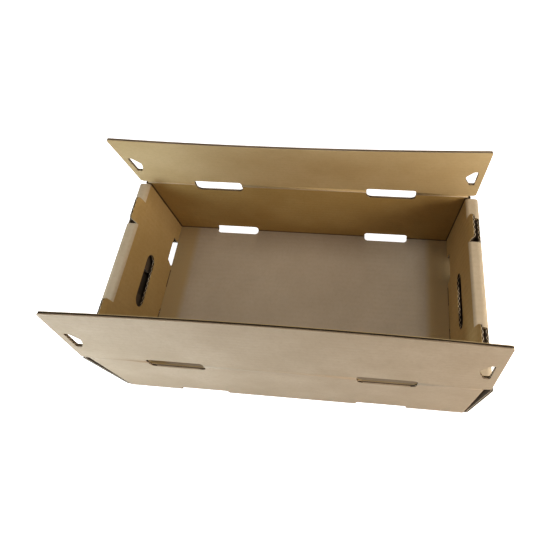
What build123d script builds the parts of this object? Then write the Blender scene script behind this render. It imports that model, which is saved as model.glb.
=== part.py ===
from build123d import *
import math
import os

# A cardboard tray box folded from one sheet of fluted board, with two long lid flaps.
# +X runs along the box, +Y to the back, +Z up. The origin is under the middle of the floor.
# Lengths are in millimetres and angles in degrees.

# Sheet
board = 3.6
fold_inside_radius = 0.5
fit_gap = 0.5

# Overall form
lid_length = 500
inside_width = 258
crease_height = 148

# Ends of the long walls, with the dust flaps that turn in from them
wall_end_gap = 0.5
wall_end_lean = 1.2
dust_flap_split = 38
dust_notch_start = 40
dust_notch_length = 38
dust_notch_height = 24
dust_notch_radius = 3

# End walls, rolled over the dust flaps
end_reach = 5.0  # how far their tops stand out past the ends of the lid flaps
end_flare = 10.0
strip_width = 18.5
roll_inside_radius = 3.4
inner_panel_setback = 10.7
inner_panel_side_gap = 2.4
outer_panel_recess = 1.5
foot_gap = 1.2

# Stacking tabs, which stand up from the inner panels
tab_start = 33.5
tab_length = 37
tab_height = 15.5
tab_lean = 4.5
tab_corner_radius = 5.0

# Locking tabs, which hold the inner panels down in slots in the floor
lock_length = 45
lock_play = 0.6
lock_tip_gap = 0.5

# Hand holes
hand_hole_length = 80
hand_hole_height = 25.4
hand_hole_centre = 74.4

# Notches in the feet of the inner panels
inner_notch_start = 32
inner_notch_length = 45.5
inner_notch_height = 22
inner_notch_slant = 7

# Slots at the feet of the end walls, where the tabs of a box below come up
end_slot_play = 3.0
end_slot_height = 17
end_slot_setback = 2.5
end_slot_radius = 3.0

# Slots at the feet of the long walls
wall_slot_length = 70
wall_slot_centre = 125.8
wall_slot_height = 14
wall_slot_reach = 7.8
wall_slot_radius = 5.5

# Slots across the top creases of the long walls
crease_slot_length = 72
crease_slot_centre = 129.5
crease_slot_below = 18
crease_slot_above = 8.2
crease_slot_low_radius = 7.5
crease_slot_high_radius = 4.5

# Lid flaps
lid_gap = 10.0
lid_corner_radius = 3.0
lid_heel_length = 4.0
lid_heel_height = 3.0
crease_gap = 0.4
bevel_angle = 46
back_lid_lean = 7.8
front_lid_lean = 4.7

# D-shaped holes in the lid flaps, which drop over the stacking tabs
tab_play = 1.2
d_hole_edge = 8.4
d_hole_far_width = 6.0
d_hole_near_width = 7.6
d_hole_belly_start = 13.0
d_hole_belly_width = 13.0
d_hole_peak_start = 24.0
d_hole_peak_width = 15.0
d_hole_round = 2.0

# Places that follow from the sizes above
mid = board / 2
fold_radius = fold_inside_radius + mid
fold_height = board + fold_inside_radius
roll_radius = roll_inside_radius + mid
roll_height = board + roll_inside_radius
wall_inner_y = inside_width / 2
wall_outer_y = wall_inner_y + board
strip_top = crease_height - board - fit_gap
strip_outer_x = lid_length / 2 + end_reach
inner_top_x = strip_outer_x - strip_width
inner_foot_x = inner_top_x - inner_panel_setback
inner_foot_z = board + foot_gap
inner_half_y = wall_inner_y - inner_panel_side_gap
outer_foot_x = strip_outer_x - end_flare
outer_half_y = wall_outer_y - outer_panel_recess
wall_end_x = outer_foot_x - board - wall_end_gap
channel_half = wall_end_x - mid - fold_radius
corner_foot_z = board + fit_gap
dust_top = strip_top - board - fit_gap
dust_tip_y = dust_flap_split / 2
tab_centre_y = wall_inner_y - tab_start - tab_length / 2
lid_depth = wall_outer_y - lid_gap / 2
past = 4 * board
sides = (-1, 1)


def inner_face_x(height):
    return inner_foot_x + inner_panel_setback * (height - inner_foot_z) / (strip_top - inner_foot_z)


def outer_face_x(height):
    return outer_foot_x + end_flare * height / strip_top


# One corner: the end of a long wall, its fold, and the dust flap
with BuildPart() as corner:
    slope = math.tan(math.radians(wall_end_lean))
    flap_mid_x = wall_end_x + corner_foot_z * slope - mid
    with BuildSketch(Plane.XY.offset(corner_foot_z)) as corner_section:
        with BuildLine() as corner_path:
            FilletPolyline(
                (channel_half - past, wall_outer_y - mid),
                (flap_mid_x, wall_outer_y - mid),
                (flap_mid_x, dust_tip_y),
                radius=fold_radius,
            )
        trace(line_width=board)
    rise = crease_height - crease_gap / 2 - corner_foot_z
    extrude(amount=rise * math.hypot(1, slope), dir=(slope, 0, 1))
    # The dust flap ends below the strip
    with BuildSketch(Plane.XY.offset(dust_top)) as dust_trim:
        with Locations((wall_end_x, 0)):
            Rectangle(2 * past, 2 * wall_inner_y)
    extrude(amount=crease_height, mode=Mode.SUBTRACT)
    # The notch that clears the tab of a box below
    with BuildSketch(Plane.YZ.offset(wall_end_x - past)) as dust_notch:
        with Locations((wall_inner_y - dust_notch_start - dust_notch_length / 2, 0)):
            RectangleRounded(dust_notch_length, 2 * dust_notch_height, dust_notch_radius)
    extrude(amount=2 * past, mode=Mode.SUBTRACT)

# One end wall: outer panel, strip and inner panel, rolled from the end of the floor
with BuildPart() as end_wall:
    top_mid_z = strip_top - mid
    strip_mid_x = strip_outer_x - strip_width / 2
    outer_top = (outer_face_x(top_mid_z) - mid, top_mid_z)
    inner_top = (inner_face_x(top_mid_z) + mid, top_mid_z)
    with BuildSketch(Plane.XZ) as outer_section:
        with BuildLine() as outer_path:
            FilletPolyline(
                (channel_half - mid, mid),
                (outer_face_x(mid) - mid, mid),
                outer_top,
                (strip_mid_x, top_mid_z),
                radius=(fold_radius, roll_radius),
            )
        trace(line_width=board)
    extrude(amount=outer_half_y, both=True)
    # The strip is as narrow as the inner panel, so the corners of its fold are open
    with BuildSketch(Plane.XY.offset(strip_top - roll_height)) as fold_corners:
        for side in sides:
            with Locations((strip_outer_x, side * (inner_half_y + past / 2))):
                Rectangle(4 * past, past)
    extrude(amount=2 * roll_height, mode=Mode.SUBTRACT)
    with BuildSketch(Plane.XZ) as inner_section:
        with BuildLine() as inner_path:
            FilletPolyline(
                (strip_mid_x, top_mid_z),
                inner_top,
                (inner_face_x(inner_foot_z) + mid, inner_foot_z),
                radius=fold_radius,
            )
        trace(line_width=board)
    extrude(amount=inner_half_y, both=True)
    # The strip is cut away where each tab was cut from it
    with BuildSketch(Plane.XY.offset(strip_top - roll_height)) as tab_windows:
        for side in sides:
            with Locations((strip_mid_x, side * tab_centre_y)):
                Rectangle(strip_width + 2 * past, tab_length)
    extrude(amount=2 * roll_height, mode=Mode.SUBTRACT)
    # The tabs carry on from the inner panel
    root_z = strip_top - roll_height
    tip_x = inner_top_x + tab_height * math.tan(math.radians(tab_lean))
    for side in sides:
        with BuildSketch(Plane.XZ.offset(-side * tab_centre_y)) as tab_section:
            with BuildLine() as tab_outline:
                Polyline(
                    (inner_face_x(root_z), root_z),
                    (inner_top_x, strip_top),
                    (tip_x, strip_top + tab_height),
                    (tip_x + board, strip_top + tab_height),
                    (inner_top_x + board, strip_top),
                    (inner_face_x(root_z) + board, root_z),
                    close=True,
                )
            make_face()
        extrude(amount=tab_length / 2, both=True)
    fillet(end_wall.edges().filter_by(Axis.X).group_by(Axis.Z)[-1], tab_corner_radius)
    # Hand hole through both panels
    with BuildSketch(Plane.YZ.offset(inner_foot_x - past)) as hand_hole:
        with Locations((0, hand_hole_centre)):
            SlotOverall(hand_hole_length, hand_hole_height)
    extrude(amount=strip_width + inner_panel_setback + 2 * past, mode=Mode.SUBTRACT)
    # Notches in the foot of the inner panel
    with BuildSketch(Plane.YZ.offset(inner_foot_x - past)) as inner_notches:
        for side in sides:
            start = side * (wall_inner_y - inner_notch_start)
            stop = side * (wall_inner_y - inner_notch_start - inner_notch_length)
            with BuildLine() as notch_outline:
                Polyline(
                    (start, board),
                    (start, inner_notch_height),
                    (stop + side * inner_notch_slant, inner_notch_height),
                    (stop, board),
                    close=True,
                )
            make_face()
    extrude(amount=past + board + inner_panel_setback / 2, mode=Mode.SUBTRACT)
    # Slots through the foot of the outer panel
    with BuildSketch(Plane.YZ.offset(inner_foot_x + end_slot_setback)) as end_slots:
        for side in sides:
            with Locations((side * tab_centre_y, 0)):
                RectangleRounded(tab_length + 2 * end_slot_play, 2 * end_slot_height, end_slot_radius)
    extrude(amount=strip_width + 2 * past, mode=Mode.SUBTRACT)
    # Locking tab below the inner panel
    with BuildSketch(Plane.XY.offset(lock_tip_gap)) as lock_section:
        with Locations((inner_foot_x + mid, 0)):
            Rectangle(board, lock_length)
    extrude(amount=inner_foot_z + board - lock_tip_gap)

# The tray: floor and long walls as one channel, then the corners and end walls
with BuildPart() as tray:
    with BuildSketch(Plane.YZ) as channel_section:
        with BuildLine() as channel_path:
            FilletPolyline(
                (-wall_outer_y + mid, crease_height - crease_gap / 2),
                (-wall_outer_y + mid, mid),
                (wall_outer_y - mid, mid),
                (wall_outer_y - mid, crease_height - crease_gap / 2),
                radius=fold_radius,
            )
        trace(line_width=board)
    extrude(amount=channel_half, both=True)
    # Floor slots for the locking tabs
    with BuildSketch(Plane.XY) as lock_slots:
        with Locations((-inner_foot_x - mid, 0), (inner_foot_x + mid, 0)):
            Rectangle(board + 2 * lock_play, lock_length + 2 * lock_play)
    extrude(amount=board, mode=Mode.SUBTRACT)
    # Floor ends of the slots at the feet of the end walls
    with BuildSketch(Plane.XY) as end_slot_mouths:
        for side in sides:
            for end in sides:
                with Locations((end * (inner_foot_x + end_slot_setback + past / 2), side * tab_centre_y)):
                    Rectangle(past, tab_length + 2 * end_slot_play)
    extrude(amount=board, mode=Mode.SUBTRACT)
    add(end_wall.part)
    mirror(end_wall.part, about=Plane.YZ)
    for part in (corner.part, mirror(corner.part, about=Plane.XZ, mode=Mode.PRIVATE)):
        add(part)
        mirror(part, about=Plane.YZ)
    # Slots at the feet of the long walls, up the wall and into the floor
    for side in sides:
        with BuildSketch(Plane.XZ.offset(-side * wall_inner_y)) as wall_slots:
            with Locations((-wall_slot_centre, 0), (wall_slot_centre, 0)):
                RectangleRounded(wall_slot_length, 2 * wall_slot_height, wall_slot_radius)
        extrude(amount=-side * past, mode=Mode.SUBTRACT)
    with BuildSketch(Plane.XY) as floor_slots:
        for side in sides:
            for end in sides:
                with Locations((end * wall_slot_centre, side * wall_outer_y)):
                    RectangleRounded(
                        wall_slot_length, 2 * (board + wall_slot_reach), wall_slot_radius
                    )
    extrude(amount=fold_height, mode=Mode.SUBTRACT)
    # Lower halves of the slots across the creases
    for side in sides:
        with BuildSketch(Plane.XZ.offset(-side * (wall_inner_y - mid))) as crease_slots:
            with Locations((-crease_slot_centre, crease_height), (crease_slot_centre, crease_height)):
                RectangleRounded(crease_slot_length, 2 * crease_slot_below, crease_slot_low_radius)
        extrude(amount=-side * past, mode=Mode.SUBTRACT)
    # The top edges of the long walls slope down inwards, so the lids can fold shut
    bevel_drop = board * math.tan(math.radians(bevel_angle))
    bevel_top = crease_height - crease_gap / 2
    with BuildSketch(Plane.YZ) as wall_bevels:
        for side in sides:
            with BuildLine() as bevel_outline:
                Polyline(
                    (side * wall_outer_y, bevel_top),
                    (side * wall_outer_y, bevel_top + board),
                    (side * wall_inner_y, bevel_top + board),
                    (side * wall_inner_y, bevel_top - bevel_drop),
                    close=True,
                )
            make_face()
    extrude(amount=lid_length, both=True, mode=Mode.SUBTRACT)

tray.part.label = "tray"
os.makedirs("parts", exist_ok=True)
export_step(tray.part, "parts/tray.step")

# The two lid flaps, each on a plane that lies on its outer face, with its y axis up the flap
hole_start = tab_start + board - tab_play
hole_stop = tab_start + board + tab_length + tab_play
hole_x = lid_length / 2 - d_hole_edge

flaps = (
    ("back_flap", 1, math.radians(back_lid_lean)),
    ("front_flap", -1, math.radians(front_lid_lean)),
)
for name, side, lean in flaps:
    lean_sin = math.sin(lean)
    lean_cos = math.cos(lean)
    crease_point = (0, side * wall_outer_y, crease_height)
    inward = (0, -side * lean_cos, -lean_sin)
    face_plane = Plane(crease_point, x_dir=(side, 0, 0), z_dir=inward)
    edge_plane = Plane(crease_point, x_dir=inward, z_dir=(-side, 0, 0))

    with BuildPart() as flap:
        with BuildSketch(face_plane) as flap_outline:
            with BuildLine() as flap_edge:
                Polyline(
                    (-lid_length / 2 + lid_heel_length, crease_gap / 2),
                    (lid_length / 2 - lid_heel_length, crease_gap / 2),
                    (lid_length / 2, lid_heel_height),
                    (lid_length / 2, lid_depth),
                    (-lid_length / 2, lid_depth),
                    (-lid_length / 2, lid_heel_height),
                    close=True,
                )
            make_face()
            fillet(flap_outline.vertices().group_by(Axis.Y)[-1], lid_corner_radius)
        extrude(amount=board)
        # Upper halves of the slots across the crease
        with BuildSketch(face_plane) as flap_slots:
            with Locations((-crease_slot_centre, 0), (crease_slot_centre, 0)):
                RectangleRounded(crease_slot_length, 2 * crease_slot_above, crease_slot_high_radius)
        extrude(amount=board, mode=Mode.SUBTRACT)
        # D-shaped holes, with the flat side along the end of the flap
        with BuildSketch(face_plane) as d_holes:
            for end in sides:
                with BuildLine() as d_outline:
                    Polyline(
                        (end * hole_x, hole_start),
                        (end * hole_x, hole_stop),
                        (end * (hole_x - d_hole_far_width), hole_stop),
                        (end * (hole_x - d_hole_peak_width), hole_start + d_hole_peak_start),
                        (end * (hole_x - d_hole_belly_width), hole_start + d_hole_belly_start),
                        (end * (hole_x - d_hole_near_width), hole_start),
                        close=True,
                    )
                make_face()
            fillet(d_holes.vertices(), d_hole_round)
        extrude(amount=board, mode=Mode.SUBTRACT)
        # The crease edge slopes up inwards, to meet the wall's edge when the flap is shut
        with BuildSketch(edge_plane) as flap_bevel:
            with BuildLine() as flap_bevel_outline:
                Polyline(
                    (0, crease_gap / 2),
                    (board, crease_gap / 2 + bevel_drop),
                    (board, crease_gap / 2 - board),
                    (0, crease_gap / 2 - board),
                    close=True,
                )
            make_face()
        extrude(amount=lid_length, both=True, mode=Mode.SUBTRACT)

    flap.part.label = name
    export_step(flap.part, f"parts/{name}.step")
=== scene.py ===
import bpy
import bmesh
import math
from mathutils import Matrix, Vector


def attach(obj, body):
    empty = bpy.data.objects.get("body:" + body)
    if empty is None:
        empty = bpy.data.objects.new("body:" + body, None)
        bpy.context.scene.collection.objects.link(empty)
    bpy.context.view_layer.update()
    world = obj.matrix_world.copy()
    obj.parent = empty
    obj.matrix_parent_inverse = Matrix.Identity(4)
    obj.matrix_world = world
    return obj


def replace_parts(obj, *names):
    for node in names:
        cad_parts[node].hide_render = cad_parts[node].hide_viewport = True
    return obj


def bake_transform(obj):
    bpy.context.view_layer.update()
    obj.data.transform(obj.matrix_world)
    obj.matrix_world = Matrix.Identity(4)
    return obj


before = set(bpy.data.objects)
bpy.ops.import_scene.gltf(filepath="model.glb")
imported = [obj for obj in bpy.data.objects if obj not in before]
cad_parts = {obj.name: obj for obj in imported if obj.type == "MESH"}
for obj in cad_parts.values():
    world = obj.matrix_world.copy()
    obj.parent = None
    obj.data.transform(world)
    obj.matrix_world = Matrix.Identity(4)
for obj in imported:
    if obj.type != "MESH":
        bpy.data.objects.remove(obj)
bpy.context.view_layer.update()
mm = 0.001
sides = (-1, 1)
print("frame loaded")


# the board: two liners on a fluted core; all lengths in millimetres, angles in degrees
board = {
    "thick": 3.6,
    "liner": 0.5,
    "corePaper": 0.75,
    "crushedCore": 1.0,      # what is left of the flutes in a fold
    "flutePitch": 7.7,
    "fluteSteps": 10,
    "foldInside": 0.5,
    "foldSteps": 6,
    "pinch": 0.8,            # how much the die has pressed the liners together at a cut, from each side
    "pinchWidth": 1.0,
    "pinchShortest": 3.0,    # shorter cuts, and those more aslant than this share, aren't pressed
    "pinchSlant": 0.3,
    "cornerSteps": 3,        # of a rounded corner, and one more for each millimetre of its radius
    "coreSpare": 1.0,        # how far the wavy sheet and its cutter reach past a panel
    "edgeTilt": 0.3,         # faces of the core whose normals rise no more than this are its cut edges
}
thick = board["thick"]
mid = thick / 2
midFold = board["foldInside"] + mid
outFold = board["foldInside"] + thick
mergeWithin = 0.002
cutWithin = 0.0001
hair = 0.001                 # two places closer than this are one
aroundBox = ((-1, -1), (1, -1), (1, 1), (-1, 1))


def flatSheet(loops):
    # loops of (x, y, corner radius): outlines first, then the holes in them
    bm = bmesh.new()
    for loop in loops:
        verts = [bm.verts.new((x, y, 0)) for x, y, _ in loop]
        bm.faces.new(verts)
        for radius in sorted({r for _, _, r in loop if r > 0}):
            corners = [v for v, (_, _, r) in zip(verts, loop) if r == radius]
            bmesh.ops.bevel(bm, geom=corners, offset=radius, offset_type="OFFSET", affect="VERTICES",
                            segments=board["cornerSteps"] + int(radius), profile=0.5, material=-1)
    bmesh.ops.delete(bm, geom=bm.faces[:], context="FACES_ONLY")
    bmesh.ops.remove_doubles(bm, verts=bm.verts[:], dist=mergeWithin)
    bmesh.ops.triangle_fill(bm, use_beauty=True, edges=bm.edges[:], normal=(0, 0, 1))
    return bm


def thicken(bm, low, high):
    bmesh.ops.translate(bm, vec=(0, 0, low), verts=bm.verts[:])
    made = bmesh.ops.extrude_face_region(bm, geom=bm.faces[:])
    top = [g for g in made["geom"] if isinstance(g, bmesh.types.BMVert)]
    bmesh.ops.translate(bm, vec=(0, 0, high - low), verts=top)
    bmesh.ops.recalc_face_normals(bm, faces=bm.faces[:])
    return bm


def cutAcross(bm, place, normal):
    # adds edges all round bm where the plane crosses it
    bmesh.ops.bisect_plane(bm, geom=bm.verts[:] + bm.edges[:] + bm.faces[:], dist=cutWithin,
                           plane_co=place, plane_no=normal)


def setInPlace(bm, place):
    # a place that mirrors turns the faces inside out, so they are turned back
    bmesh.ops.transform(bm, matrix=place, verts=bm.verts[:])
    if place.determinant() < 0:
        bmesh.ops.reverse_faces(bm, faces=bm.faces[:])


def meshFrom(bm, name):
    mesh = bpy.data.meshes.new(name)
    bm.to_mesh(mesh)
    bm.free()
    return mesh


def merge(bm, part, slot):
    # takes a finished part into bm, with all its faces in one material slot
    for face in part.faces:
        face.material_index = slot
    keep(bm, part)


def keep(bm, part):
    mesh = meshFrom(part, "part")
    bm.from_mesh(mesh)
    bpy.data.meshes.remove(mesh)


def flutedCore(sheet, across):
    # a wavy sheet as large as the panel, cut to its outline; the flutes run along the other axis
    axis = "xy".index(across)
    spare, paper = board["coreSpare"], board["corePaper"]
    prism = thicken(sheet.copy(), -spare, thick + spare)
    low = [min(v.co[i] for v in sheet.verts) - spare for i in (0, 1)]
    high = [max(v.co[i] for v in sheet.verts) + spare for i in (0, 1)]
    middle = Vector(((high[0] + low[0]) / 2, (high[1] + low[1]) / 2, 0))
    steps = [1, 1]
    steps[axis] = int((high[axis] - low[axis]) / board["flutePitch"] * board["fluteSteps"])
    wave = bmesh.new()
    bmesh.ops.create_grid(wave, x_segments=steps[0], y_segments=steps[1], size=0.5)
    bmesh.ops.scale(wave, vec=(high[0] - low[0], high[1] - low[1], 1), verts=wave.verts[:])
    bmesh.ops.translate(wave, vec=middle, verts=wave.verts[:])
    swing = mid - board["liner"] - paper / 2
    for v in wave.verts:
        v.co.z = mid + swing * math.cos(2 * math.pi * v.co[axis] / board["flutePitch"])
    bmesh.ops.solidify(wave, geom=wave.faces[:], thickness=paper)
    bmesh.ops.translate(wave, vec=(0, 0, paper / 2), verts=wave.verts[:])
    bmesh.ops.recalc_face_normals(wave, faces=wave.faces[:])
    for face in wave.faces:
        face.smooth = True
    core = bpy.data.objects.new("core", meshFrom(wave, "core"))
    cutter = bpy.data.objects.new("cutter", meshFrom(prism, "cutter"))
    for o in (core, cutter):
        bpy.context.scene.collection.objects.link(o)
    cut = core.modifiers.new("cut", "BOOLEAN")
    cut.operation, cut.solver, cut.object = "INTERSECT", "EXACT", cutter
    cutMesh = bpy.data.meshes.new_from_object(core.evaluated_get(bpy.context.evaluated_depsgraph_get()))
    result = bmesh.new()
    result.from_mesh(cutMesh)
    bpy.data.meshes.remove(cutMesh)
    for o in (core, cutter):
        mesh = o.data
        bpy.data.objects.remove(o)
        bpy.data.meshes.remove(mesh)
    return result


def pinchedRims(sheet, across):
    # narrow strips of the sheet along its long cuts in the direction of the flutes
    rims = sheet.copy()
    made = bmesh.ops.inset_region(rims, faces=rims.faces[:], use_boundary=True, use_even_offset=True,
                                  thickness=board["pinchWidth"])
    kept = set()
    for face in made["faces"]:
        longest = max(face.edges, key=lambda edge: edge.calc_length())
        way = longest.verts[1].co - longest.verts[0].co
        aslant = abs(way["xy".index(across)]) / max(way.length, hair)
        if way.length > board["pinchShortest"] and aslant < board["pinchSlant"]:
            kept.add(face)
    bmesh.ops.delete(rims, geom=[face for face in rims.faces if face not in kept], context="FACES")
    return rims


def addPanel(bm, loops, place, across, slots=(0, 2), rimSlots=None):
    # liners and core of one flat panel, set in place; slots 0 and 2 are the paper outside and inside the box,
    # 3 is the painted shade of a hollow in the walls' and ends' lists and the pale crease ridge in the
    # flaps', and 1 is the core, painted dark as the shade in the flutes, with the sides of the liners that
    # face it
    liner, pinch = board["liner"], board["pinch"]
    panel = bmesh.new()
    sheet = flatSheet(loops)
    merge(panel, thicken(sheet.copy(), 0, liner), slots[0])
    merge(panel, thicken(sheet.copy(), thick - liner, thick), slots[1])
    for face in panel.faces:
        if liner - hair < face.calc_center_median().z < thick - liner + hair:
            face.material_index = 1
    if rimSlots:
        rims = pinchedRims(sheet, across)
        merge(panel, thicken(rims.copy(), liner, liner + pinch), rimSlots[0])
        merge(panel, thicken(rims, thick - liner - pinch, thick - liner), rimSlots[1])
    core = flutedCore(sheet, across)
    core.normal_update()
    for face in core.faces:      # cut edges are as pale as the liners, but for those of a hollow, which keep the core's painted shade
        steep = abs(face.normal.z) <= board["edgeTilt"]
        face.material_index = 0 if steep and slots != (3, 3) else 1
    keep(panel, core)
    sheet.free()
    setInPlace(panel, place)
    keep(bm, panel)


def foldAt(before, corner, after, radius=midFold):
    # where a fold starts and ends on the middle line of the board, and its centre
    back, ahead = (before - corner).normalized(), (after - corner).normalized()
    half = back.angle(ahead) / 2
    reach = radius / math.tan(half)
    centre = corner + (back + ahead).normalized() * radius / math.sin(half)
    return corner + back * reach, corner + ahead * reach, centre


def addFold(bm, before, corner, after, spans, place, radius=midFold):
    # liners and crushed core turned round a fold, for each span along the fold
    start, end, centre = foldAt(before, corner, after, radius)
    along = (corner - before).normalized()
    out = (start - centre).normalized()
    turn = (start - centre).angle(end - centre)
    left = Vector((0, 0, 1)).cross(along).dot(centre - start) > 0
    axis = (0, 0, 1 if left else -1)
    liner, crushed = board["liner"], board["crushedCore"] / 2
    fold = bmesh.new()
    for near, far, slot in ((mid - liner, mid, 0), (-mid, liner - mid, 2), (-crushed, crushed, 1)):
        part = bmesh.new()
        for low, high in spans:
            ring = [start + out * near, start + out * far, start + out * far, start + out * near]
            part.faces.new([part.verts.new((p.x, p.y, z)) for p, z in zip(ring, (low, low, high, high))])
        bmesh.ops.spin(part, geom=part.verts[:] + part.edges[:] + part.faces[:], cent=centre,
                       axis=axis, angle=turn, steps=board["foldSteps"], use_duplicate=False)
        bmesh.ops.recalc_face_normals(part, faces=part.faces[:])
        merge(fold, part, slot)
    setInPlace(fold, place)
    keep(bm, fold)


def frameOf(right, up, out, origin=(0, 0, 0)):
    place = Matrix((right, up, out)).transposed().to_4x4()
    place.translation = Vector(origin)
    return place


def runFrame(place, start, end):
    # a panel that carries on along the path from start to end: x along the fold, y along the path
    along = (end - start).normalized()
    left = Vector((0, 0, 1)).cross(along)
    return place @ frameOf((0, 0, 1), along, left, start - left * mid)


def finishPiece(bm, name, body, materials):
    bmesh.ops.scale(bm, vec=(mm, mm, mm), verts=bm.verts[:])
    piece = bpy.data.objects.new(name, meshFrom(bm, name))
    bpy.context.scene.collection.objects.link(piece)
    for material in materials:
        piece.data.materials.append(material)
    if body:
        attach(piece, body)
    return piece


# the tray
tray = {
    "wallInnerY": 129.0,
    "wallOuterY": 132.6,
    "creaseHeight": 148.0,
    "creaseStart": 142.5,     # where the crease strip takes over from the wall
    "cornerTop": 144.2,
    "floorPlaceX": 200.0,     # any place on the flat floor, where the path of an end wall begins
    "wallEndX": 236.89,       # where the corner folds begin, at the height of the foot
    "wallEndLean": 1.2,
    "stripTop": 143.9,
    "tabMiddleY": 77.0,
    "tabLength": 37.0,
}
wallSlot = {"middle": 125.8, "length": 70.0, "height": 14.0, "reach": 7.8, "radius": 5.4}
creaseSlot = {
    "middle": 129.5,
    "length": 72.0,
    "below": 18.0,           # how far it reaches below and above the crease
    "above": 8.2,
    "lowRadius": 7.4,
    "highRadius": 4.5,
}
lock = {"x": 227.6, "slotLength": 46.2, "slotWidth": 4.8, "tabLength": 45.0, "tabReach": 4.3}
endSlot = {
    "width": 43.0,
    "height": 17.0,
    "startX": {-1: 226.2, 1: 232.4},      # left and right
    "radius": 3.0,
}
endWall = {
    "footX": 245.0,
    "topX": 255.0,
    "rollRadius": 5.2,       # the fold from the outer panel to the strip is a wide one
    "outerHalfY": 131.1,
    "innerHalfY": 126.6,
    "innerTopX": 236.5,
    "innerFootX": 225.8,
    "innerFootZ": 4.8,
    "handLength": 80.0,
    "handHeight": 25.4,
    "handMiddle": 74.4,
    "handFlat": 0.02,        # left straight at each end, between the rounded corners
    "tabReach": 15.5,
    "tabRadius": 5.0,
    "tabLean": 5.0,          # how much further out the tabs lean than the panel that they stand on
    "tabCurl": 10.0,         # and how much more their tips do, above the shut lid
    "curlHeight": 7.0,
    "knifeCut": 0.15,        # on each side of a tab
    "notch": (97.0, 58.5, 51.5),      # in Y: its upright side, then the slanting one at top and foot
    "notchHeight": 22.0,
}


# paper colours, one copy for each panel and side, each tinted for the light that falls on it: the floor
# inside greyer under the cool top light, the walls and ends inside browner in bounced light, the outsides and
# the flaps' insides paler where lit: painted light and shade
kraft = {
    "wallOutside": {
        "Paper": (0.395, 0.283, 0.168, 1),
        "Pale": (0.455, 0.333, 0.207, 1),
        "Dark": (0.305, 0.212, 0.117, 1)},
    "wallInside": {
        "Paper": (0.385, 0.236, 0.068, 1),
        "Pale": (0.44, 0.28, 0.09, 1),
        "Dark": (0.28, 0.16, 0.04, 1)},
    "endOutside": {
        "Paper": (0.49, 0.385, 0.245, 1),
        "Pale": (0.56, 0.445, 0.295, 1),
        "Dark": (0.385, 0.29, 0.172, 1)},
    "endInside": {
        "Paper": (0.40, 0.255, 0.088, 1),
        "Pale": (0.46, 0.30, 0.115, 1),
        "Dark": (0.30, 0.18, 0.053, 1)},
    "flap": {
        "Paper": (0.52, 0.36, 0.155, 1),
        "Pale": (0.58, 0.415, 0.195, 1),
        "Dark": (0.40, 0.265, 0.105, 1)},
    # the floor's inside paper, painted greyer than the walls' for the cool light that falls on it from above
    "floor": {
        "Paper": (0.43, 0.34, 0.233, 1),
        "Pale": (0.47, 0.375, 0.262, 1),
        "Dark": (0.34, 0.262, 0.17, 1),
        "ShadeBand": (0.43, 0.306, 0.147, 1)},      # painted shade, along the end walls
    # the crease's ridge: paler from wear, and painted lighter as a highlight where light catches its top
    "crease": {
        "Paper": (0.60, 0.45, 0.27, 1),
        "Pale": (0.66, 0.51, 0.32, 1),
        "Dark": (0.45, 0.32, 0.17, 1)},
    # the core and the liner sides that face it, painted near black for the shade inside the flutes
    "core": {
        "Paper": (0.06, 0.04, 0.022, 1),
        "Pale": (0.09, 0.06, 0.034, 1),
        "Dark": (0.035, 0.022, 0.012, 1)},
    # painted shade: the dark paper inside the rolled ends, where little light gets in
    "hollowShade": {
        "Paper": (0.08, 0.055, 0.032, 1),
        "Pale": (0.11, 0.075, 0.045, 1),
        "Dark": (0.05, 0.032, 0.018, 1)},
    # painted shade in the inside corners and in the gaps under the end panels
    "corner": (0.09, 0.05, 0.018, 1),
    "roughness": 0.82,
    "gloss": 0.25,
    "coreRoughness": 0.9,
    "coreGloss": 0.15,
}

# how the paper is mottled: the scale of each noise, its detail and roughness,
# where between 0 and 1 it begins and ends to show, and how strongly it does
mottling = {
    "clouds": (14, 4, 0.6),
    "cloudRange": (0.38, 0.68),
    "formation": (240, 3, 0.65),
    "formationRange": (0.45, 0.75),
    "formationShare": 0.30,
    "fibres": (900, 2, 0.6),
    "crossFibres": (760, 2, 0.6),
    "fibreStretch": 3.5,
    "fibreRange": (0.5, 0.66),
    "fibreShare": 0.35,
    "fibreBump": (0.25, 0.0001),      # strength and distance in metres
    "specks": (1500, 1, 0.4),
    "speckRange": (0.70, 0.78),
    "speckShare": 0.5,
}

# how the flutes show through the liners
washboard = {
    "patches": (9, 2, 0.5),  # the noise that makes them show more in some places
    "patchRange": (0.3, 0.7),
    "weakest": 0.3,
    "strongest": 0.7,
    "shade": 0.10,           # how much painted shade darkens the paper along them
    "bump": (0.35, 0.0003),
}

# painted shade: the dark lines and bands where panels meet inside the box, by how far away the meeting is
shadeLines = {
    "solid": 0.7,                 # fully dark up to here, and gone from the width on
    "width": 1.7,
    "strength": 0.85,
    "footGapShadow": (18.0, 47.0),      # in Y, on both sides of a locking tab: painted shadow of the gap under the end panel
    "shadeBand": (27.0, 37.0),         # where the painted shade band of the floor begins to fade, and where it ends
}


def newGroup(name, inputs, outputs):
    group = bpy.data.node_groups.new(name, "ShaderNodeTree")
    for label, kind, value in inputs:
        socket = group.interface.new_socket(label, in_out="INPUT", socket_type=kind)
        if value is not None:
            socket.default_value = value
    for label, kind in outputs:
        group.interface.new_socket(label, in_out="OUTPUT", socket_type=kind)
    return group, group.nodes.new("NodeGroupInput"), group.nodes.new("NodeGroupOutput")


def mathNode(tree, operation, a, b=None):
    node = tree.nodes.new("ShaderNodeMath")
    node.operation = operation
    for socket, value in zip(node.inputs, (a, b)):
        if isinstance(value, (int, float)):
            socket.default_value = value
        elif value is not None:
            tree.links.new(value, socket)
    return node.outputs[0]


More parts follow.
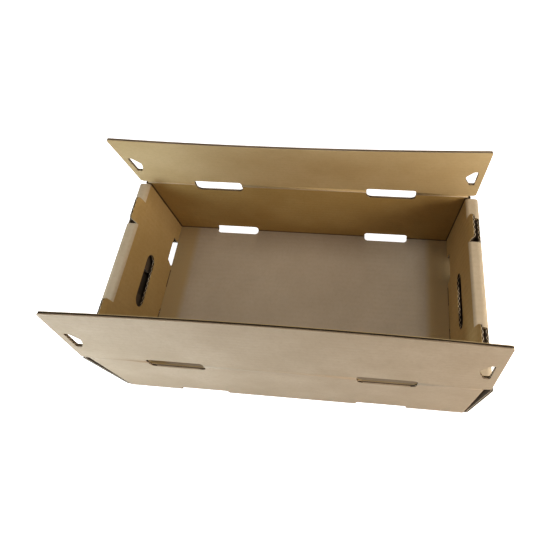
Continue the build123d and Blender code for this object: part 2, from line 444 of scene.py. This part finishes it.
def noiseNode(tree, vector, look):
    scale, detail, roughness = look
    node = tree.nodes.new("ShaderNodeTexNoise")
    node.inputs["Scale"].default_value = scale
    node.inputs["Detail"].default_value = detail
    node.inputs["Roughness"].default_value = roughness
    tree.links.new(vector, node.inputs["Vector"])
    return node.outputs["Fac"]


def mixColors(tree, factor, a, b):
    node = tree.nodes.new("ShaderNodeMix")
    node.data_type = "RGBA"
    for socket, value in ((node.inputs["Factor"], factor), (node.inputs["A"], a), (node.inputs["B"], b)):
        if isinstance(value, (tuple, float)):
            socket.default_value = value
        else:
            tree.links.new(value, socket)
    return node.outputs["Result"]


def bumpNode(tree, height, look, normal=None):
    node = tree.nodes.new("ShaderNodeBump")
    node.inputs["Strength"].default_value, node.inputs["Distance"].default_value = look
    tree.links.new(height, node.inputs["Height"])
    if normal is not None:
        tree.links.new(normal, node.inputs["Normal"])
    return node.outputs["Normal"]


def remap(tree, value, low, high):
    node = tree.nodes.new("ShaderNodeMapRange")
    node.inputs["From Min"].default_value = low
    node.inputs["From Max"].default_value = high
    tree.links.new(value, node.inputs["Value"])
    return node.outputs["Result"]


def stretched(tree, vector, scale):
    node = tree.nodes.new("ShaderNodeMapping")
    node.inputs["Scale"].default_value = scale
    tree.links.new(vector, node.inputs["Vector"])
    return node.outputs["Vector"]


def makePaperGroup():
    # mottled kraft paper: cloudy formation, fibres and a few dark specks
    group, given, out = newGroup(
        "kraftPaper",
        [("Position", "NodeSocketVector", None), ("Paper", "NodeSocketColor", None),
         ("Pale", "NodeSocketColor", None), ("Dark", "NodeSocketColor", None)],
        [("Color", "NodeSocketColor"), ("Fibre", "NodeSocketFloat")])
    position, pale, dark = (given.outputs[label] for label in ("Position", "Pale", "Dark"))
    stretch = mottling["fibreStretch"]
    clouds = noiseNode(group, position, mottling["clouds"])
    formation = noiseNode(group, position, mottling["formation"])
    fibres = noiseNode(group, stretched(group, position, (1, 1, stretch)), mottling["fibres"])
    crossFibres = noiseNode(group, stretched(group, position, (stretch, 1, 1)), mottling["crossFibres"])
    specks = noiseNode(group, position, mottling["specks"])
    fibre = mathNode(group, "MULTIPLY", mathNode(group, "ADD", fibres, crossFibres), 0.5)
    tone = mixColors(group, remap(group, clouds, *mottling["cloudRange"]), given.outputs["Paper"], pale)
    layers = ((formation, "formation", dark), (fibre, "fibre", pale), (specks, "speck", dark))
    for noise, name, color in layers:
        shown = remap(group, noise, *mottling[name + "Range"])
        tone = mixColors(group, mathNode(group, "MULTIPLY", shown, mottling[name + "Share"]), tone, color)
    group.links.new(tone, out.inputs["Color"])
    group.links.new(fibre, out.inputs["Fibre"])
    return group


def makeWashboardGroup():
    # the liner sinks a little between the flute tips, more in some places than in others
    group, given, out = newGroup(
        "washboard",
        [("Position", "NodeSocketVector", None), ("Across", "NodeSocketVector", (0, 0, 1))],
        [("Wave", "NodeSocketFloat")])
    dot = group.nodes.new("ShaderNodeVectorMath")
    dot.operation = "DOT_PRODUCT"
    group.links.new(given.outputs["Position"], dot.inputs[0])
    group.links.new(given.outputs["Across"], dot.inputs[1])
    turns = mathNode(group, "MULTIPLY", dot.outputs["Value"], 2 * math.pi / (board["flutePitch"] * mm))
    wave = mathNode(group, "COSINE", turns)
    noise = noiseNode(group, given.outputs["Position"], washboard["patches"])
    patches = remap(group, noise, *washboard["patchRange"])
    weakest, strongest = washboard["weakest"], washboard["strongest"]
    strength = mathNode(group, "ADD", mathNode(group, "MULTIPLY", patches, strongest - weakest), weakest)
    group.links.new(mathNode(group, "MULTIPLY", wave, strength), out.inputs["Wave"])
    return group


def makeCornerShadeGroup():
    # painted shade: the dark line inside the corners along the long walls, the shadow of the gap under the
    # end panels on both sides of their locking tabs, and the browner band of shade on the floor along those
    # panels
    group, given, out = newGroup("cornerShadeLines", [("Position", "NodeSocketVector", None)],
                                 [("Mask", "NodeSocketFloat"), ("ShadeBand", "NodeSocketFloat")])
    split = group.nodes.new("ShaderNodeSeparateXYZ")
    group.links.new(given.outputs["Position"], split.inputs[0])
    x, y, z = split.outputs
    lean = (endWall["innerTopX"] - endWall["innerFootX"]) / (tray["stripTop"] - endWall["innerFootZ"])
    endX = mathNode(group, "ADD", mathNode(group, "MULTIPLY", z, lean), endWall["innerFootX"] * mm)
    toEnd = mathNode(group, "SUBTRACT", endX, mathNode(group, "ABSOLUTE", x))
    toWall = mathNode(group, "SUBTRACT", tray["wallInnerY"] * mm, mathNode(group, "ABSOLUTE", y))
    toFloor = mathNode(group, "SUBTRACT", z, thick * mm)
    fade = (shadeLines["width"] * mm, shadeLines["solid"] * mm)
    away = mathNode(group, "MAXIMUM", toWall, mathNode(group, "MINIMUM", toEnd, toFloor))
    below = mathNode(group, "LESS_THAN", z, tray["creaseStart"] * mm)
    line = mathNode(group, "MULTIPLY", remap(group, away, *fade), below)
    gapFrom, gapTo = shadeLines["footGapShadow"]
    offGap = mathNode(group, "SUBTRACT", mathNode(group, "ABSOLUTE", y), (gapFrom + gapTo) / 2 * mm)
    beside = mathNode(group, "LESS_THAN", mathNode(group, "ABSOLUTE", offGap), (gapTo - gapFrom) / 2 * mm)
    foot = remap(group, mathNode(group, "MAXIMUM", toEnd, toFloor), *fade)
    gapShadow = mathNode(group, "MULTIPLY", foot, beside)
    group.links.new(mathNode(group, "MAXIMUM", line, gapShadow), out.inputs["Mask"])
    shadeFrom, shadeTo = shadeLines["shadeBand"]
    group.links.new(remap(group, toEnd, shadeTo * mm, shadeFrom * mm), out.inputs["ShadeBand"])
    return group


paperGroup = makePaperGroup()
washboardGroup = makeWashboardGroup()
cornerShadeGroup = makeCornerShadeGroup()


def paperMaterial(name, colors):
    # a material whose colour is the paper group's, with its tree, shader, position and paper node
    material = bpy.data.materials.new(name)
    material.use_nodes = True
    tree = material.node_tree
    shader = tree.nodes["Principled BSDF"]
    position = tree.nodes.new("ShaderNodeTexCoord").outputs["Object"]
    paper = tree.nodes.new("ShaderNodeGroup")
    paper.node_tree = paperGroup
    for label in ("Paper", "Pale", "Dark"):
        paper.inputs[label].default_value = colors[label]
    tree.links.new(position, paper.inputs["Position"])
    tree.links.new(paper.outputs["Color"], shader.inputs["Base Color"])
    return material, tree, shader, position, paper


def linerMaterial(name, across, colors, corners=False):
    material, tree, shader, position, paper = paperMaterial(name, colors)
    wave = tree.nodes.new("ShaderNodeGroup")
    wave.node_tree = washboardGroup
    wave.inputs["Across"].default_value = across
    tree.links.new(position, wave.inputs["Position"])
    # painted shade in the troughs of the washboard, on top of its bump
    lift = mathNode(tree, "ADD", mathNode(tree, "MULTIPLY", wave.outputs["Wave"], 0.5), 0.5)
    rippleShade = mathNode(tree, "MULTIPLY", lift, washboard["shade"])
    shade = mixColors(tree, rippleShade, paper.outputs["Color"], colors["Dark"])
    # corners=True mixes in painted shade: the floor's browner band and the dark lines in the corners and gaps
    if corners:
        line = tree.nodes.new("ShaderNodeGroup")
        line.node_tree = cornerShadeGroup
        tree.links.new(position, line.inputs["Position"])
        if "ShadeBand" in colors:
            shade = mixColors(tree, line.outputs["ShadeBand"], shade, colors["ShadeBand"])
        paintedShade = mathNode(tree, "MULTIPLY", line.outputs["Mask"], shadeLines["strength"])
        shade = mixColors(tree, paintedShade, shade, kraft["corner"])
    tree.links.new(shade, shader.inputs["Base Color"])
    waved = bumpNode(tree, wave.outputs["Wave"], washboard["bump"])
    fibrous = bumpNode(tree, paper.outputs["Fibre"], mottling["fibreBump"], waved)
    tree.links.new(fibrous, shader.inputs["Normal"])
    shader.inputs["Roughness"].default_value = kraft["roughness"]
    shader.inputs["Specular IOR Level"].default_value = kraft["gloss"]
    return material


def coreShadeMaterial():
    material, _, shader, _, _ = paperMaterial("fluteCoreShade", kraft["core"])
    shader.inputs["Roughness"].default_value = kraft["coreRoughness"]
    shader.inputs["Specular IOR Level"].default_value = kraft["coreGloss"]
    return material


coreShade = coreShadeMaterial()
alongWall, upEnd = (0, 0, 1), (0, 1, 0)
wallOutside = linerMaterial("wallPaperOutside", alongWall, kraft["wallOutside"])
endOutside = linerMaterial("endPaperOutside", upEnd, kraft["endOutside"])
hollowShadePaper = linerMaterial("hollowShadePaper", upEnd, kraft["hollowShade"])      # painted shade: the dim space in a rolled end, painted dark
wallInside = linerMaterial("wallPaperInside", alongWall, kraft["wallInside"], corners=True)
endInside = linerMaterial("endPaperInside", upEnd, kraft["endInside"], corners=True)
floorInside = linerMaterial("floorPaperInside", upEnd, kraft["floor"], corners=True)
flapInside = linerMaterial("flapPaperInside", alongWall, kraft["flap"])
creaseWornAndLit = linerMaterial("creasePaperWornAndLit", alongWall, kraft["crease"])
wallPapers = [wallOutside, coreShade, wallInside, hollowShadePaper]
endPapers = [endOutside, coreShade, endInside, hollowShadePaper]
floorPapers = [endOutside, coreShade, floorInside]
flapPapers = [wallOutside, coreShade, flapInside, creaseWornAndLit]
print("materials made")


# lines that several panels share
slope = math.tan(math.radians(tray["wallEndLean"]))
channelY = tray["wallOuterY"] - mid
foldEdgeY = tray["wallInnerY"] - board["foldInside"]

# the path of an end wall, in x and z: a place on the floor, outer panel, strip, inner panel
topMid = tray["stripTop"] - mid
outerLean = (endWall["topX"] - endWall["footX"]) / tray["stripTop"]
endPath = [
    Vector((tray["floorPlaceX"], mid, 0)),
    Vector((endWall["footX"] + outerLean * mid - mid, mid, 0)),
    Vector((endWall["topX"] - outerLean * mid - mid, topMid, 0)),
    Vector((endWall["innerTopX"] + mid, topMid, 0)),
    Vector((endWall["innerFootX"] + mid, endWall["innerFootZ"], 0)),
]
endRadii = (midFold, endWall["rollRadius"], midFold)
endFolds = [foldAt(*endPath[i:i + 3], endRadii[i]) for i in range(3)]


def notched(y, middle, length, depth, radius, direction):
    # four corners of a notch into an edge at height y, for an outline that runs in that direction in x
    half = direction * length / 2
    return [(middle - half, y, 0), (middle - half, y + depth, radius),
            (middle + half, y + depth, radius), (middle + half, y, 0)]


# the floor panel
floorBm = bmesh.new()
floorEndX = endFolds[0][0].x
floorEndY = endWall["outerHalfY"]
stubX = tray["wallEndX"]
slotDepth = foldEdgeY - (tray["wallInnerY"] - wallSlot["reach"])
floorLoop = []
for turn in (1, -1):
    # the front edge and the right end, then the back edge and the left end, which are these turned round
    halfLoop = [(-stubX, -foldEdgeY, 0)]
    for end in sides:
        middle = end * wallSlot["middle"]
        halfLoop += notched(-foldEdgeY, middle, wallSlot["length"], slotDepth, wallSlot["radius"], 1)
    halfLoop += [(stubX, -foldEdgeY, 0), (stubX, -floorEndY, 0), (floorEndX, -floorEndY, 0)]
    startX = endSlot["startX"][turn]
    for side in sides:
        low = side * tray["tabMiddleY"] - endSlot["width"] / 2
        high = side * tray["tabMiddleY"] + endSlot["width"] / 2
        halfLoop += [(floorEndX, low, 0), (startX, low, 0), (startX, high, 0), (floorEndX, high, 0)]
    halfLoop += [(floorEndX, floorEndY, 0), (stubX, floorEndY, 0)]
    floorLoop += [(turn * x, turn * y, radius) for x, y, radius in halfLoop]
lockSlots = [[(end * lock["x"] + i * lock["slotWidth"] / 2, j * lock["slotLength"] / 2, 0)
              for i, j in aroundBox] for end in sides]
addPanel(floorBm, [floorLoop] + lockSlots, Matrix.Identity(4), "y")
floorPanel = finishPiece(floorBm, "floor_panel", "tray", floorPapers)
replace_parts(floorPanel, "tray")
print("floor panel made")


# long walls with their folds and dust flaps
dust = {
    "tipY": 19.0,
    "top": 139.8,
    "notch": (89.0, 51.0),   # in Y
    "notchHeight": 24.0,
    "notchRadius": 3.0,
}


def longWall(name, side):
    bm = bmesh.new()
    foot, top = outFold, tray["creaseStart"]
    footX = tray["wallEndX"]
    topX = footX + slope * (top - foot)
    slotRise = wallSlot["height"] - foot
    slotDrop = top - (tray["creaseHeight"] - creaseSlot["below"])
    loop = [(-footX, foot, 0)]
    for end in sides:
        middle = end * wallSlot["middle"]
        loop += notched(foot, middle, wallSlot["length"], slotRise, wallSlot["radius"], 1)
    loop += [(footX, foot, 0), (topX, top, 0)]
    for end in (1, -1):
        middle = end * creaseSlot["middle"]
        loop += notched(top, middle, creaseSlot["length"], -slotDrop, creaseSlot["lowRadius"], -1)
    loop += [(-topX, top, 0)]
    upright = frameOf((1, 0, 0), (0, 0, 1), (0, -side, 0), (0, side * tray["wallOuterY"], 0))
    addPanel(bm, [loop], upright, "y", rimSlots=(0, 0))
    # the fold at the foot, broken by the slots
    near, far = wallSlot["middle"] - wallSlot["length"] / 2, wallSlot["middle"] + wallSlot["length"] / 2
    spans = [(-footX, -far), (-near, near), (far, footX)]
    channel = Vector((channelY, mid, 0))
    addFold(bm, Vector((0, mid, 0)), channel, Vector((channelY, top, 0)), spans,
            frameOf((0, side, 0), (0, 0, 1), (1, 0, 0)))
    for end in sides:
        # corner fold and dust flap lean out with height; their path runs in x and y from the foot
        leaning = frameOf((end, 0, 0), (0, side, 0), (end * slope, 0, 1), (0, 0, foot))
        wallMiddle, turn = Vector((0, channelY, 0)), Vector((footX + midFold, channelY, 0))
        tip = Vector((turn.x, dust["tipY"], 0))
        addFold(bm, wallMiddle, turn, tip, [(0, tray["cornerTop"] - foot)], leaning)
        flapStart = foldAt(wallMiddle, turn, tip)[1]
        rise = dust["top"] - foot
        first, last = (flapStart.y - y for y in dust["notch"])
        length = flapStart.y - dust["tipY"]
        notchRise = dust["notchHeight"] - foot
        flap = [(0, 0, 0), (0, first, 0), (notchRise, first, dust["notchRadius"]),
                (notchRise, last, dust["notchRadius"]), (0, last, 0),
                (0, length, 0), (rise, length, 0), (rise, 0, 0)]
        addPanel(bm, [flap], runFrame(leaning, flapStart, tip), "x", (3, 3))
    return finishPiece(bm, name, "tray", wallPapers)


for name, side in (("back_wall", 1), ("front_wall", -1)):
    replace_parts(longWall(name, side), "tray")
    print(name, "made")


# end walls, rolled over the dust flaps
def handHole(middle):
    halfLength, halfHeight = endWall["handLength"] / 2, endWall["handHeight"] / 2
    radius = halfHeight - endWall["handFlat"]
    return [(i * halfLength, middle + j * halfHeight, radius) for i, j in aroundBox]


def heightAlong(start, end, z):
    # distance along a run, from start, at which the run has height z
    return (z - start.y) / (end.y - start.y) * (end - start).length


def rollOverEnd(name, end):
    bm = bmesh.new()
    place = frameOf((end, 0, 0), (0, 0, 1), (0, 1, 0))
    wide, narrow = endWall["outerHalfY"], endWall["innerHalfY"]
    tabY = tray["tabMiddleY"]
    tabNear, tabFar = tabY - tray["tabLength"] / 2, tabY + tray["tabLength"] / 2
    slotNear, slotFar = tabY - endSlot["width"] / 2, tabY + endSlot["width"] / 2
    footSpans = [(-wide, -slotFar), (-slotNear, slotNear), (slotFar, wide)]
    stripSpans = [(-narrow, -tabFar), (-tabNear, tabNear), (tabFar, narrow)]
    for i, spans in enumerate((footSpans, stripSpans, stripSpans)):
        addFold(bm, *endPath[i:i + 3], spans, place, endRadii[i])
    # outer panel
    start, stop = endFolds[0][1], endFolds[1][0]
    length = (stop - start).length
    slotTop = heightAlong(start, stop, endSlot["height"])
    loop = [(-wide, 0, 0)]
    for side in sides:
        loop += notched(0, side * tabY, endSlot["width"], slotTop, endSlot["radius"], 1)
    loop += [(wide, 0, 0), (wide, length, 0), (-wide, length, 0)]
    hole = handHole(heightAlong(start, stop, endWall["handMiddle"]))
    addPanel(bm, [loop, hole], runFrame(place, start, stop), "x", (0, 3))
    # strip, in three parts
    start, stop = endFolds[1][1], endFolds[2][0]
    length = (stop - start).length
    loops = [[(low, 0, 0), (high, 0, 0), (high, length, 0), (low, length, 0)] for low, high in stripSpans]
    addPanel(bm, loops, runFrame(place, start, stop), "x")
    # inner panel, from its fold down to the foot, with the stacking tabs above and the locking tab below
    start, stop = endFolds[2][1], endPath[4]
    length = (stop - start).length
    tabTop = heightAlong(start, stop, tray["stripTop"] + endWall["tabReach"])
    tabWidth = tray["tabLength"] - 2 * endWall["knifeCut"]
    notchStart = heightAlong(start, stop, endWall["notchHeight"])
    farY, topY, nearY = endWall["notch"]
    halfLock = lock["tabLength"] / 2
    loop = [(-narrow, 0, 0)]
    for side in sides:
        loop += notched(0, side * tabY, tabWidth, tabTop, endWall["tabRadius"], 1)
    loop += [(narrow, 0, 0), (narrow, length, 0),
             (farY, length, 0), (farY, notchStart, 0), (topY, notchStart, 0), (nearY, length, 0),
             (halfLock, length, 0), (halfLock, length + lock["tabReach"], 0),
             (-halfLock, length + lock["tabReach"], 0), (-halfLock, length, 0),
             (-nearY, length, 0), (-topY, notchStart, 0), (-farY, notchStart, 0), (-farY, length, 0),
             (-narrow, length, 0)]
    hole = handHole(heightAlong(start, stop, endWall["handMiddle"]))
    inner = bmesh.new()
    addPanel(inner, [loop, hole], Matrix.Identity(4), "x", (2, 3))
    # the tabs bend out where they leave the panel
    root = heightAlong(start, stop, tray["stripTop"])
    curl = heightAlong(start, stop, tray["stripTop"] + endWall["curlHeight"])
    bends = ((0, endWall["tabLean"] / 2), (root, endWall["tabLean"] / 2), (curl, endWall["tabCurl"]))
    for line, _ in bends:
        cutAcross(inner, (0, line, 0), (0, 1, 0))
    for line, lean in sorted(bends):
        # the highest line first, because those below it move all that is above them
        above = [v for v in inner.verts if v.co.y < line - hair]
        turn = Matrix.Rotation(math.radians(-lean), 3, "X")
        bmesh.ops.rotate(inner, cent=(0, line, mid), verts=above, matrix=turn)
    setInPlace(inner, runFrame(place, start, stop))
    keep(bm, inner)
    return finishPiece(bm, name, "tray", endPapers)


for name, end in (("left_end_wall", -1), ("right_end_wall", 1)):
    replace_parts(rollOverEnd(name, end), "tray")
    print(name, "made")


# lid flaps and the creases that carry them
lid = {
    "halfLength": 250.0,
    "depth": 127.6,
    "cornerRadius": 3.0,
    "start": 3.5,            # where the flap takes over from the crease strip
    "heel": (4.0, 3.0),      # how much is cut off its lower corners, along and up
    "leans": {"back": 7.2, "front": 4.7},
    "bows": {"back": (4.6, -1.2), "front": (3.6, 0.0)},      # of the top edge, inwards, and its twist
    "bowSteps": (14, 8),     # along the flap, and up it
    "rims": {"back": (0, 0), "front": (0, 1)},      # material slots of the pressed rims, outside and inside; slot 1 is the core's painted shade, a dark line along the front flap's long cut edges
    "holeFlatX": 242.0,      # the flat side of a D-shaped hole
    "holeStart": 35.9,       # its height on the flap, from and to
    "holeStop": 75.3,
    "holeWidths": (6.0, 7.6),      # at its top and its foot
    "holeBelly": (13.0, 13.0),     # the corners of its round side: above its foot, and from its flat side
    "holePeak": (24.0, 15.0),
    "holeRadius": 2.0,
}
crease = {
    "steps": (-4.6, -4.1, -3.5, -3.0, -2.6, -2.2, -1.7, -1.1, -0.4, 0.4, 1.4, 2.6),      # from the crease
    "beadMiddle": -2.6,
    "beadHeight": 1.0,       # the board bulges inwards at the crease
    "beadHalf": 2.0,
    "rubbedAndLitHalf": 0.9,       # half the width of the pale line on its ridge, worn and painted lighter as a highlight
    "bend": (-0.4, 2.6),     # between these heights it turns from the wall to the flap
    "cornerGap": 0.4,        # below the crease, at the corner of the box
    "overlap": 0.02,         # with the wall and the flap
    "blendShort": 0.05,      # the bend is over this far below the flap
    "flatEnough": 0.5,       # faces whose normals rise more than this are shaded smooth
}


def lidFrame(side, lean):
    c, s = math.cos(math.radians(lean)), math.sin(math.radians(lean))
    pivot = (0, side * tray["wallOuterY"], tray["creaseHeight"])
    return frameOf((1, 0, 0), (0, -side * s, c), (0, -side * c, -s), pivot)


def tabHole(end):
    # a D-shaped hole for a stacking tab, with its flat side towards the end of the flap
    flat, start, stop = lid["holeFlatX"], lid["holeStart"], lid["holeStop"]
    top, foot = lid["holeWidths"]
    bellyRise, bellyReach = lid["holeBelly"]
    peakRise, peakReach = lid["holePeak"]
    points = ((flat, start), (flat, stop), (flat - top, stop), (flat - peakReach, start + peakRise),
              (flat - bellyReach, start + bellyRise), (flat - foot, start))
    return [(end * x, y, lid["holeRadius"]) for x, y in points]


def lidFlap(label, body, side, lean):
    half, start, depth, radius = lid["halfLength"], lid["start"], lid["depth"], lid["cornerRadius"]
    slotRise = creaseSlot["above"] - start
    loop = [(-half, start, 0)]
    for end in sides:
        middle = end * creaseSlot["middle"]
        loop += notched(start, middle, creaseSlot["length"], slotRise, creaseSlot["highRadius"], 1)
    loop += [(half, start, 0), (half, depth, radius), (-half, depth, radius)]
    holes = [tabHole(end) for end in sides]
    bm = bmesh.new()
    addPanel(bm, [loop] + holes, Matrix.Identity(4), "y", rimSlots=lid["rims"][label])
    # the board is warped a little
    bow, twist = lid["bows"][label]
    stepsAlong, stepsUp = lid["bowSteps"]
    for step in range(1, stepsAlong):
        cutAcross(bm, ((2 * step / stepsAlong - 1) * half, 0, 0), (1, 0, 0))
    for step in range(1, stepsUp):
        cutAcross(bm, (0, step / stepsUp * depth, 0), (0, 1, 0))
    for v in bm.verts:
        across, up = v.co.x / half, v.co.y / depth
        v.co.z += (bow * (1 - across ** 2) + twist * across) * up ** 2
    setInPlace(bm, lidFrame(side, lean))
    return finishPiece(bm, label + "_flap_board", body, flapPapers)


def creaseStrip(name, side, lean):
    low = tray["creaseStart"] - tray["creaseHeight"] - crease["overlap"]
    high = lid["start"] + crease["overlap"]
    near = creaseSlot["middle"] - creaseSlot["length"] / 2
    far = creaseSlot["middle"] + creaseSlot["length"] / 2
    wallX = tray["wallEndX"] + slope * (tray["creaseStart"] - outFold)
    cornerX = tray["wallEndX"] + slope * (tray["creaseHeight"] - outFold)
    endX = lid["halfLength"]
    heelLength, heelHeight = lid["heel"]
    loops = [[(-near, low, 0), (near, low, 0), (near, high, 0), (-near, high, 0)]]
    for end in sides:
        points = ((far, low), (wallX, low), (cornerX, -crease["cornerGap"]), (endX - heelLength, 0),
                  (endX, heelHeight), (endX, high), (far, high))
        loops.append([(end * x, y, 0) for x, y in points])
    strip = bmesh.new()
    liner, crushed = board["liner"], board["crushedCore"] / 2
    for bottom, top, slot in ((0, liner, 0), (thick - liner, thick, 2), (mid - crushed, mid + crushed, 1)):
        merge(strip, thicken(flatSheet(loops), bottom, top), slot)
    for step in crease["steps"]:
        cutAcross(strip, (0, step, 0), (0, 1, 0))
    # bead on the inside, rubbed pale and painted lighter as a highlight along its ridge, and the bend from
    # the wall to the flap
    middle, reach = crease["beadMiddle"], crease["beadHalf"]
    for face in strip.faces:
        if face.material_index == 2 and abs(face.calc_center_median().y - middle) < crease["rubbedAndLitHalf"]:
            face.material_index = 3
    for v in strip.verts:
        if v.co.z > mid:
            away = min(1.0, abs(v.co.y - middle) / reach)
            v.co.z += crease["beadHeight"] * (1 + math.cos(math.pi * away)) / 2
    bendLow, bendHigh = crease["bend"]
    for step in sorted({round(v.co.y, 3) for v in strip.verts}):
        share = min(1.0, max(0.0, (step - bendLow) / (bendHigh - bendLow)))
        row = [v for v in strip.verts if abs(v.co.y - step) < hair]
        turn = Matrix.Rotation(math.radians(share * lean), 3, "X")
        bmesh.ops.rotate(strip, cent=(0, 0, 0), verts=row, matrix=turn)
    for face in strip.faces:
        face.smooth = abs(face.normal.z) > crease["flatEnough"]
    setInPlace(strip, lidFrame(side, 0))
    piece = finishPiece(strip, name, None, flapPapers)
    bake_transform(piece)
    return piece


for label, side in (("back", 1), ("front", -1)):
    body = label + "_flap"
    lean = lid["leans"][label]
    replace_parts(lidFlap(label, body, side, lean), body)
    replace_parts(creaseStrip(label + "_crease", side, lean), body)
    print(label, "flap and crease made")


# floor, lights and camera
studio = {
    "floorSize": 8.0,
    "floorColor": (0.93, 0.93, 0.925, 1),
    "floorRoughness": 0.95,
    "white": (1, 1, 1, 1),
    "floorGlow": 0.9,        # seen by the camera alone, so it doesn't light the box
    "worldFill": 0.1,
    "worldSeen": 1.0,
    "lights": {              # place, size, power, colour
        "topLeft": ((-0.7, 0.1, 1.5), 0.3, 2.9, (0.88, 0.94, 1.0)),
        "topRight": ((0.7, 0.1, 1.5), 0.3, 6.0, (0.94, 0.97, 1.0)),
        "leftLow": ((-1.5, -0.6, 0.35), 1.0, 2.8, (1.0, 0.95, 0.97)),
        "leftNear": ((-0.85, 0.15, 0.6), 0.5, 1.45, (1.0, 0.97, 0.94)),
        "rightLow": ((1.5, -0.5, 0.5), 1.0, 12.8, (1.0, 0.96, 0.93)),
        "rightNear": ((0.75, -0.35, 0.75), 0.4, 0.65, (1.0, 0.53, 0.2)),
        "frontLeft": ((-0.50, -0.56, 0.22), 0.3, 4.4, (0.63, 0.79, 1.0)),
        "frontRight": ((0.62, -0.28, 0.34), 0.25, 1.5, (1.0, 0.96, 0.93)),
        "backLow": ((0.0, 1.8, 0.4), 0.8, 9.0, (1.0, 0.97, 0.9)),
    },
    "aim": (0.0, 0.0, 0.05),
}


def seenByCamera(tree, strength, otherwise):
    # a strength that only camera rays see, and another for the light that it sheds
    ray = tree.nodes.new("ShaderNodeLightPath").outputs["Is Camera Ray"]
    return mathNode(tree, "ADD", mathNode(tree, "MULTIPLY", ray, strength - otherwise), otherwise)


floorMesh = bmesh.new()
bmesh.ops.create_grid(floorMesh, x_segments=1, y_segments=1, size=studio["floorSize"] / 2)
studioFloor = bpy.data.objects.new("studio_floor", meshFrom(floorMesh, "studio_floor"))
bpy.context.scene.collection.objects.link(studioFloor)
floorMaterial = bpy.data.materials.new("studioFloor")
floorMaterial.use_nodes = True
floorTree = floorMaterial.node_tree
floorShader = floorTree.nodes["Principled BSDF"]
floorShader.inputs["Base Color"].default_value = studio["floorColor"]
floorShader.inputs["Roughness"].default_value = studio["floorRoughness"]
floorShader.inputs["Specular IOR Level"].default_value = 0.0
floorShader.inputs["Emission Color"].default_value = studio["white"]
floorGlow = seenByCamera(floorTree, studio["floorGlow"], 0.0)
floorTree.links.new(floorGlow, floorShader.inputs["Emission Strength"])
studioFloor.data.materials.append(floorMaterial)

world = bpy.data.worlds.new("studio")
world.use_nodes = True
background = world.node_tree.nodes["Background"]
background.inputs["Color"].default_value = studio["white"]
worldGlow = seenByCamera(world.node_tree, studio["worldSeen"], studio["worldFill"])
world.node_tree.links.new(worldGlow, background.inputs["Strength"])
bpy.context.scene.world = world

for name, (place, size, power, color) in studio["lights"].items():
    light = bpy.data.lights.new(name, "AREA")
    light.energy, light.size, light.color = power, size, color
    lightObject = bpy.data.objects.new(name, light)
    lightObject.location = place
    toBox = Vector(studio["aim"]) - Vector(place)
    lightObject.rotation_euler = toBox.to_track_quat("-Z", "Y").to_euler()
    bpy.context.scene.collection.objects.link(lightObject)

view = {
    "place": (0.109992, -0.286555, 0.826369),
    "turn": (0.618556, 0.059531, 0.090626),
    "lens": 35.354,
    "sensor": 36.0,
    "shift": (-0.09, -0.219),
    "clip": (0.01, 50.0),
}
camera = bpy.data.cameras.new("camera")
camera.sensor_width = view["sensor"]
camera.lens = view["lens"]
camera.shift_x, camera.shift_y = view["shift"]
camera.clip_start, camera.clip_end = view["clip"]
cameraObject = bpy.data.objects.new("camera", camera)
cameraObject.location = view["place"]
cameraObject.rotation_euler = view["turn"]
bpy.context.scene.collection.objects.link(cameraObject)
bpy.context.scene.camera = cameraObject
bpy.context.scene.view_settings.view_transform = "Standard"
print("studio made")
